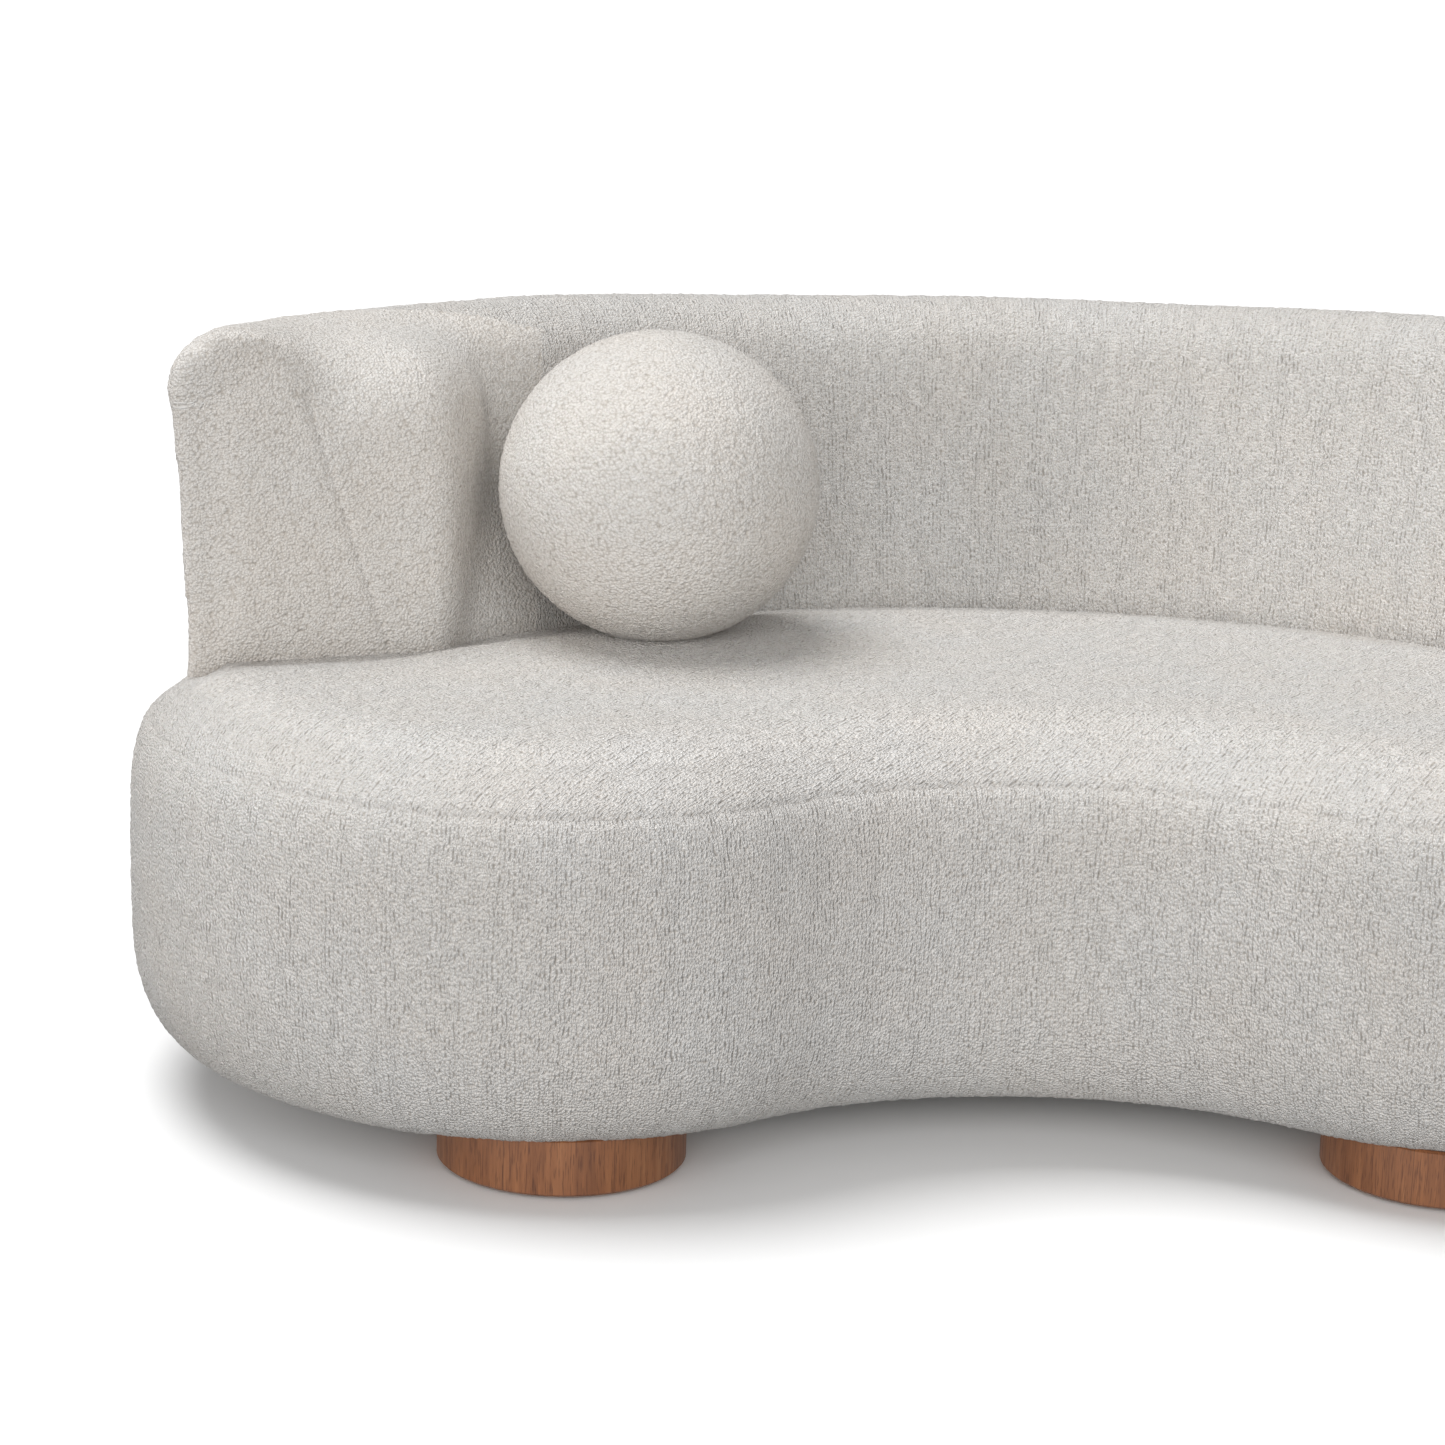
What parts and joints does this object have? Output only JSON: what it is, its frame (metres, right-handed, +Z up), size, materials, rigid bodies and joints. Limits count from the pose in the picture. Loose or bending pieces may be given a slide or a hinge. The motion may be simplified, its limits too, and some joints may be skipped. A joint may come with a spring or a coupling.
{
  "type": "curved sofa",
  "caption": "Kidney-shaped upholstered sofa with a wraparound back, round wooden drum feet and a loose ball pillow.",
  "frame": {"origin": "on the floor, below the middle of the sofa's outer box", "axes": "+Z up, +X along the sofa's length to the right as seen from the front, +Y towards the back; the sofa faces -Y"},
  "size_m": [1.836, 1.0608, 0.7746],
  "materials": {
    "boucle": "nubbly cream boucle, matt",
    "stained_walnut": "walnut stain under satin lacquer",
    "felt": "pressed wool felt",
    "felt_pad": "needled insulator felt",
    "foam": "open-cell polyurethane foam",
    "polyester_fill": "loose polyester fibre",
    "plywood": "bare birch plywood",
    "pine": "planed softwood",
    "webbing": "woven elastic webbing",
    "lining": "spun-bonded dust lining",
    "zip_plastic": "nylon coil zip on a woven tape",
    "zinc_steel": "bright zinc plated"
  },
  "bodies": {
    "sofa": {"back_inner_foam": "foam", "back_inner_panel": "plywood", "back_outer_foam": "foam", "back_outer_panel": "plywood", "back_post_1": "pine", "back_post_2": "pine", "back_post_3": "pine", "back_post_4": "pine", "back_post_5": "pine", "back_post_6": "pine", "back_post_7": "pine", "back_sill": "plywood", "back_top_plate": "plywood", "back_top_roll": "foam", "base_board": "plywood", "border_cover": "boucle", "border_foam": "foam", "cross_rib_1": "plywood", "cross_rib_2": "plywood", "cross_rib_3": "plywood", "cross_rib_4": "plywood", "deck_felt": "felt_pad", "dust_lining": "lining", "foot_bolt_nuts": "zinc_steel", "foot_bolts": "zinc_steel", "foot_front_left": "stained_walnut", "foot_front_right": "stained_walnut", "foot_rear_left": "stained_walnut", "foot_rear_right": "stained_walnut", "front_panel": "plywood", "glide_front_left": "felt", "glide_front_right": "felt", "glide_rear_left": "felt", "glide_rear_right": "felt", "inside_back_cover": "boucle", "outside_back_cover": "boucle", "rail_screws": "zinc_steel", "rear_panel": "plywood", "seat_foam": "foam", "seat_rail": "plywood", "seat_top_cover": "boucle", "seat_webbing_cross": "webbing", "seat_webbing_long": "webbing", "shoulder_cover": "boucle", "shoulder_foam": "foam", "wing_end_board_left": "plywood", "wing_end_board_right": "plywood", "wing_end_cover_left": "boucle", "wing_end_cover_right": "boucle", "wing_end_foam_left": "foam", "wing_end_foam_right": "foam"},
    "ball_pillow": {"ball_cover": "boucle", "ball_filling": "polyester_fill", "ball_zip": "zip_plastic"}
  },
  "joints": [
    {"name": "ball_lift", "type": "slide", "parent": "sofa", "child": "ball_pillow", "axis": [0, 0, 1], "range_m": [0, 0.4]}
  ]
}
